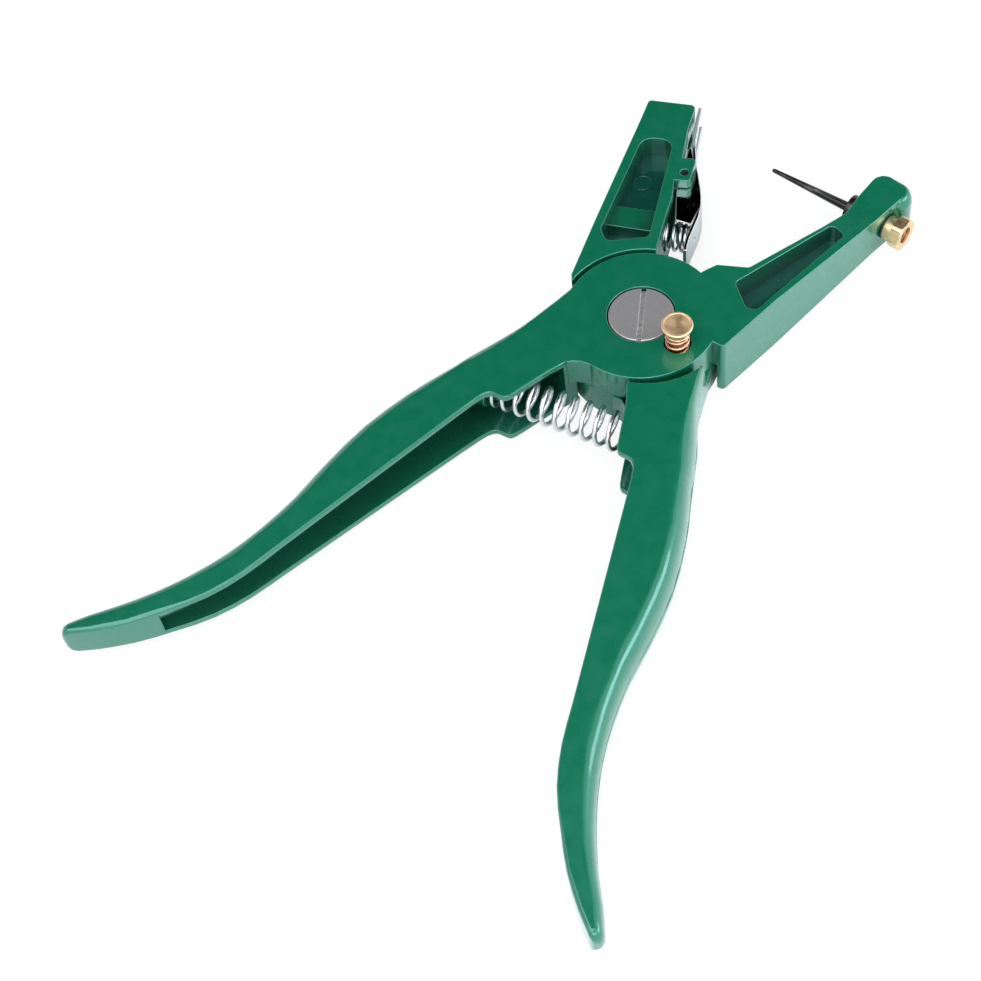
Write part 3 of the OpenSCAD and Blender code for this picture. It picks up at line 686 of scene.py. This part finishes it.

# %% [markdown]
# ## Springs
# A coil spring is a tube carried along a screw line. Its first and last turns lie close, as
# on the real springs, and the turns between are spread evenly.


# %% Springs
def coil(outer, gauge, turns, length, axes, steps=40, sides=12):
    """Tube on a screw line. After t turns the line is at radius r, angle 2 pi t and a
    height that climbs one wire thickness a turn at the ends and evenly in between. The
    tube adds gauge/2 * (cos b * outward + sin b * sideways) round the line."""
    origin, basis = axes
    r = (outer - gauge) / 2
    dead = min(1, turns / 5)
    spread = length - gauge - 2 * dead * gauge
    t = np.linspace(0, turns, int(turns * steps) + 1)
    height = (
        gauge / 2
        + gauge * np.minimum(t, dead)
        + spread * np.clip((t - dead) / (turns - 2 * dead), 0, 1)
        + gauge * np.maximum(0, t - turns + dead)
    )
    angle = 2 * np.pi * t
    line = np.stack([r * np.cos(angle), r * np.sin(angle), height], -1)
    along = np.gradient(line, axis=0)
    along /= np.linalg.norm(along, axis=1)[:, None]
    outward = np.stack([np.cos(angle), np.sin(angle), np.zeros_like(t)], -1)
    outward -= (outward * along).sum(1)[:, None] * along
    outward /= np.linalg.norm(outward, axis=1)[:, None]
    sideways = np.cross(along, outward)
    b = np.linspace(0, 2 * np.pi, sides, endpoint=False)
    tube = line[:, None] + gauge / 2 * (
        np.cos(b)[:, None] * outward[:, None] + np.sin(b)[:, None] * sideways[:, None]
    )
    return origin + (tube * MM) @ basis


def spring(name, node, size, axes, gap, finish):
    """Coil of a size (outer, gauge, turns, length) that starts a gap off its first seat. It
    stands for its CAD solid."""
    seat, basis = axes
    start = seat + basis[2] * gap * MM
    piece = grid_piece(name, coil(*size, (start, basis)), finish, sharp=60)
    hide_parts(node)
    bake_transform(piece)


RETURN_SEATS = np.array([[-28.13, -36.22], [26.6, -31.02]])
span = RETURN_SEATS[1] - RETURN_SEATS[0]
spring(
    "return_coil", "return_spring", (11.8, 1.4, 14, np.linalg.norm(span) - 0.2),
    axes_along([*RETURN_SEATS[0] * MM, MIDDLE], math.atan2(span[1], span[0])), 0.1,
    wire,
)

CLIP_SEAT, CLIP_SPRING_TURN = np.array([-17.11 * MM, 34.35 * MM, MIDDLE]), math.radians(17.5)
spring(
    "clip_coil", "clip_spring", (8.4, 0.9, 6, 11.4), axes_along(CLIP_SEAT, CLIP_SPRING_TURN),
    0.05, wire,
)

LOCK_WALL, BUTTON_LOW, BUTTON_TOP = 18.05, 26.2, 29.3
spring(
    "button_coil", "lock_spring", (7.1, 0.8, 4, BUTTON_LOW - LOCK_WALL - 0.1),
    axes_up([*BUTTON_AT, LOCK_WALL * MM]), 0.05, copper,
)

# %% [markdown]
# ## Turned pieces
# The lock button, the needle and the screw come from a lathe, so each is one profile turned
# about its axis. The button's face is slightly dished and cut in fine rings, which draws its
# bright and dark sectors. The needle is a long cone with a rounded tip behind a flat collar.

# %% Button and needle
button_profile = rounded_profile(
    [
        (0.001, 10.95), (1.45, 10.95), (1.5, 16.45), (2, 16.5), (2, BUTTON_LOW),
        (3.45, BUTTON_LOW), (3.45, BUTTON_LOW + 0.6), (4.35, BUTTON_TOP - 1),
        (4.55, BUTTON_TOP - 0.75), (4.55, BUTTON_TOP - 0.3), (4.25, BUTTON_TOP),
        (3.9, BUTTON_TOP), (3.7, BUTTON_TOP - 0.12), (0.001, BUTTON_TOP - 0.4),
    ],
    0.12,
)
button = grid_piece("brass_button", turned(button_profile, axes_up([*BUTTON_AT, 0])),
                    button_brass)
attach(button, "button")
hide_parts("lock_button")

needle_axes = axes_along(NEEDLE_FROM, NEEDLE_TURN)
needle_profile = rounded_profile(
    [
        (0.001, -13.2), (1.6, -13.2), (2, -12.8), (2, -0.35), (4.4, -0.35), (4.4, 2.65),
        (1.5, 2.65), (1.47, 3.2), (0.66, 29.2), (0.58, 29.95), (0.001, 30.25),
    ],
    0.2,
)
needle = grid_piece("black_needle", turned(needle_profile, needle_axes, 48), dark)
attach(needle, "needle_side")
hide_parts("needle")


# %% [markdown]
# ## Nut on the needle
# The nut has a round shoulder, a hexagon with chamfered corners and an open threaded bore.
# On a grid, its outside is the smaller of two radii at each angle and height: that of the
# hexagon and that of the chamfer cone.


# %% Nut
NUT_FLATS, BORE, NUT_BACK = 9.3, 2.6, 10.6


def hexagon(angle, flats, corner=0.25):
    """Radius of a hexagon at an angle: half the flats over the cosine of the angle to the
    nearest flat, cut a little at the corners."""
    to_flat = (np.degrees(angle) + 30) % 60 - 30
    return np.minimum(flats / 2 / np.cos(np.radians(to_flat)), flats / math.sqrt(3) - corner)


def nut_points(sides=144):
    """Stations from the shoulder over the hexagon to the end face, then back down the bore,
    where a fine saw wave in height is the thread."""
    angle = np.linspace(0, 2 * np.pi, sides, endpoint=False)
    hexa = hexagon(angle, NUT_FLATS)
    rows = []

    def station(radius, height):
        r = np.broadcast_to(radius, angle.shape)
        rows.append(np.stack([r * np.cos(angle), -r * np.sin(angle),
                              np.full(sides, -height)], -1))

    for r, h in rounded_profile([(2.06, 0), (3.8, 0), (3.8, 2.72)], 0.25):
        station(r, h)
    for cone, h in ((4.3, 2.7), (4.9, 2.8), (5.4, 3.05), (5.4, 5.6), (5.25, 5.9),
                    (4.95, 6.1), (4.7, 6.17)):
        station(np.minimum(hexa, cone), h)
    for r, h in ((4.4, 6.2), (2.85, 6.2), (2.65, 6.1), (BORE, 6.0)):
        station(r, h)
    for h in np.linspace(5.9, 2.9, 31):
        station(BORE - 0.16 * np.abs(((h / 0.7 + angle / 2 / np.pi) % 1) * 2 - 1), h)
    for r, h in ((BORE, 2.8), (2.06, 2.8), (2.06, 0)):
        station(r, h)
    return np.array(rows)


nut_origin = NEEDLE_FROM - needle_axes[1][2] * NUT_BACK * MM
nut_basis = needle_axes[1]
nut = grid_piece("brass_nut", nut_origin + nut_points() * MM @ nut_basis, nut_brass,
                 caps=False, sharp=28)
# The bore's faces take the darker brown, which is partly the thread's own colour and partly
# painted shade.
nut.data.materials.append(bore_brass_and_shade.material)
local = (face_centres(nut.data) - nut_origin) @ nut_basis.T / MM
in_bore = (np.hypot(local[:, 0], local[:, 1]) < BORE + 0.03) & (local[:, 2] < -0.05)
nut.data.polygons.foreach_set("material_index", in_bore.astype(np.int32))
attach(nut, "needle_side")
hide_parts("needle_nut")

ring_profile = rounded_profile(
    [(2.06, -10.12), (3.9, -10.12), (3.9, -10.58), (2.06, -10.58)], 0.15)
ring_profile = np.vstack([ring_profile, ring_profile[:1]])
ring = grid_piece("black_ring", turned(ring_profile, needle_axes, 64), blued,
                  caps=False)
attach(ring, "needle_side")
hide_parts("needle_ring")

# %% [markdown]
# ## Pivot screw
# The screw is the widest bright face of the tool. Its slot was cut roughly: the lips wander
# and are slightly raised. The head is a disc of rows that run along the slot, with a height
# worked out from the distance to the slot and to the rim.


# %% Pivot screw
SLOT_TURN, SLOT_HALF = math.radians(116), 0.7
LIP_INSIDE, LIP_OUTSIDE, LIP_LOW = 0.5, 0.86, 19.5


def screw_head(radius=9.5, top=21.0, low=18.0):
    """Rows along the slot at set distances u from it, cut to the disc, so x^2 + u^2 is at
    most radius^2. Height is top, less the slot's depth where u is inside its wandering
    width, plus a low lip beside it, less a small rounding at the rim."""
    near = np.array([0, 0.3, 0.55, 0.64, 0.7, 0.76, 0.84, 0.95, 1.15, 1.5, 2.1])
    half = np.concatenate([near, np.linspace(2.8, radius - 0.9, 12),
                           radius - np.array([0.6, 0.4, 0.25, 0.12, 0.04, 0.001])])
    across = np.concatenate([-half[:0:-1], half])
    ends = np.linspace(0, 1, 14)
    along = np.concatenate([-1 + 0.06 * ends[:-1] ** 1.5, np.linspace(-0.94, 0.94, 70),
                            1 - 0.06 * ends[-2::-1] ** 1.5])
    u = np.repeat(across[:, None], len(along), 1)
    v = along * np.sqrt(np.maximum(radius**2 - u**2, 0))
    wander = 0.05 * np.sin(v * 1.9 + 1) + 0.03 * np.sin(v * 5.3 + np.sign(u))
    gap = np.abs(u) + wander - SLOT_HALF
    cut = 1 / (1 + np.exp(np.clip(gap / 0.025, -30, 30)))
    lip = 0.05 * np.exp(-((gap - 0.12) / 0.1) ** 2) * (0.6 + 0.4 * np.sin(v * 2.7))
    rim = np.maximum(0, np.hypot(u, v) - (radius - 0.35)) ** 2 / 0.5
    rough = 0.06 * np.sin(v * 3.1 + u * 2) * cut
    height = top - 0.06 - 1.1 * cut + lip * (1 - cut) - rim + rough
    return u, v, np.minimum(height, top), low


def screw_piece(name, finish):
    """The head's grid, a wall from its edge down to the underside, and the turned shank.
    The lips of the slot are rubbed bright."""
    u, v, height, low = screw_head()
    rows, cols = u.shape
    along_slot = np.array([math.cos(SLOT_TURN), math.sin(SLOT_TURN)])
    across_slot = np.array([-math.sin(SLOT_TURN), math.cos(SLOT_TURN)])
    flat = v[..., None] * along_slot + u[..., None] * across_slot
    top = np.concatenate([flat, height[..., None]], -1).reshape(-1, 3)
    index = np.arange(rows * cols).reshape(rows, cols)
    quads = np.stack([index[:-1, :-1], index[:-1, 1:], index[1:, 1:], index[1:, :-1]], -1)
    edge = np.concatenate([index[0], index[1:, -1], index[-1, -2::-1], index[-2:0:-1, 0]])
    foot = top[edge].copy()
    foot[:, 2] = low
    base = np.arange(len(edge)) + len(top)
    wall = np.stack([edge, np.roll(edge, -1), np.roll(base, -1), base], -1)
    faces = quads.reshape(-1, 4).tolist() + wall.tolist() + [base.tolist()]
    head_end = len(top) + len(foot)
    shank = turned(rounded_profile([(0.001, 0.7), (2.6, 0.7), (3, 1.1), (3, 3), (4.5, 3),
                                    (4.5, 18.2), (0.001, 18.2)], 0.2), axes_up([0, 0, 0]), 64)
    r, c = shank.shape[:2]
    ring = np.arange(r * c).reshape(r, c) + head_end
    after = np.roll(ring, -1, axis=1)
    faces += np.stack([ring[:-1], after[:-1], after[1:], ring[1:]], -1).reshape(-1, 4).tolist()
    mesh = bpy.data.meshes.new(name)
    points = np.concatenate([top * MM, foot * MM, shank.reshape(-1, 3)])
    mesh.from_pydata(points.tolist(), [], faces)
    solid = bmesh.new()
    solid.from_mesh(mesh)
    bmesh.ops.remove_doubles(solid, verts=solid.verts, dist=2e-6)
    bmesh.ops.dissolve_degenerate(solid, edges=solid.edges, dist=1e-6)
    bmesh.ops.recalc_face_normals(solid, faces=solid.faces)
    solid.to_mesh(mesh)
    solid.free()
    mesh.shade_smooth()
    mesh.set_sharp_from_angle(angle=math.radians(50))
    mesh.materials.append(finish.material)
    mesh.materials.append(edge_steel.material)
    centre = face_centres(mesh) / MM
    aside = np.abs(centre[:, :2] @ across_slot)
    on_lip = (aside > LIP_INSIDE) & (aside < LIP_OUTSIDE) & (centre[:, 2] > LIP_LOW)
    mesh.polygons.foreach_set("material_index", on_lip.astype(np.int32))
    piece = add_object(name, mesh)
    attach(piece, "needle_side")
    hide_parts("pivot_screw")
    print("made", name, len(mesh.polygons), "faces")


screw_piece("pivot_screw_piece", satin)

# %% [markdown]
# ## Tag clip
# The clip is one folded sheet of chromed steel with two prongs. Its solid already has the
# folds, so it is a softened copy too. Every cut edge and every bend gets a narrow round with
# a finish of its own, because the plating is rubbed bright and dull there.

# %% Tag clip
softened("tag_clip", "tag_clip_piece", CLIP_ROUND, chrome, "clip",
         segments=2, limit=35, flat=0.3, merge=0.03, edge_finish=edge_steel)

# %% [markdown]
# ## Small solids that stay as they are
# The washer, the round nut, the collar in the lock and the clip's pin are plain turned solids
# in the frame, so they only take their finish.

# %% Finish the small solids
for node, finish in (("pivot_washer", satin), ("pivot_nut", satin), ("lock_collar", wire),
                     ("clip_pin", blued)):
    solids[node].data.materials.clear()
    solids[node].data.materials.append(finish.material)

# %% [markdown]
# ## Marks of the casting
# A thin ridge runs along the back of each handle, where the halves of the mould met, and an
# ejector pin left a faint ring in the pocket of the clip jaw.

# %% Parting line and ejector ring
BACK_LINE = np.array([
    [31.2, -22.2], [34.9, -29.3], [38.9, -38.4], [41.2, -43.5], [46, -54.3], [50.9, -69.6],
    [53.4, -85.4], [54.6, -98.5], [57.3, -111.5], [60.6, -121.9], [65, -131.8], [70.2, -141],
    [76.3, -149.6]])


def smooth_line(points, steps):
    """Catmull-Rom curve: between b and c, with neighbours a and d, a point t of the way is
    half of 2b + (c-a)t + (2a-5b+4c-d)t^2 + (3b-a-3c+d)t^3."""
    padded = np.concatenate([points[:1], points, points[-1:]])
    a, b, c, d = (padded[i : len(padded) - 3 + i][:, None] for i in range(4))
    t = np.linspace(0, 1, steps, endpoint=False)[None, :, None]
    curve = 0.5 * (2 * b + (c - a) * t + (2 * a - 5 * b + 4 * c - d) * t**2
                   + (3 * b - a - 3 * c + d) * t**3)
    return np.concatenate([curve.reshape(-1, points.shape[1]), points[-1:]])


def ridge(name, line, body, proud=0.22, half=0.4):
    """Half-round bead carried along a level line: at each point it adds proud * cos b
    outwards and half * sin b upwards, and both fade to nothing at the ends."""
    path = smooth_line(line, 10)
    along = np.gradient(path, axis=0)
    along /= np.linalg.norm(along, axis=1)[:, None]
    out_side = np.stack([along[:, 1], -along[:, 0]], -1)
    out_side *= np.sign((out_side * path).sum(1).mean())
    share = np.linspace(0, 1, len(path))
    fade = np.clip(np.minimum(share, 1 - share) * 14, 0.02, 1)
    b = np.linspace(0, 2 * np.pi, 12, endpoint=False)
    level = path[:, None] + out_side[:, None] * (
        proud * fade[:, None, None] * np.cos(b)[None, :, None] - 0.1)
    height = MIDDLE_MM + half * fade[:, None] * np.sin(b)
    points = np.concatenate([level, height[..., None]], -1) * MM
    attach(grid_piece(name, points, paint, sharp=60), body)


ridge("clip_parting_line", BACK_LINE, "clip_side")
ridge("pin_parting_line", BACK_LINE * [-1, 1], "needle_side")

EJECTOR_AT, EJECTOR_RADIUS = (-29.2, 49.4), 2.7
ring_angle = np.linspace(0, 2 * np.pi, 72, endpoint=False)
tube_angle = np.linspace(0, 2 * np.pi, 10, endpoint=False)
radial = EJECTOR_RADIUS + 0.16 * np.cos(tube_angle)[None, :]
mark = np.stack([
    (EJECTOR_AT[0] + radial * np.cos(ring_angle)[:, None]),
    (EJECTOR_AT[1] + radial * np.sin(ring_angle)[:, None]),
    np.repeat(POCKET_FLOOR / MM + 0.1 * np.sin(tube_angle)[None, :], len(ring_angle), 0)], -1)
mark = np.concatenate([mark, mark[:1]])
ejector = grid_piece("ejector_ring", mark * MM, paint, caps=False, sharp=60)
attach(ejector, "clip_side")
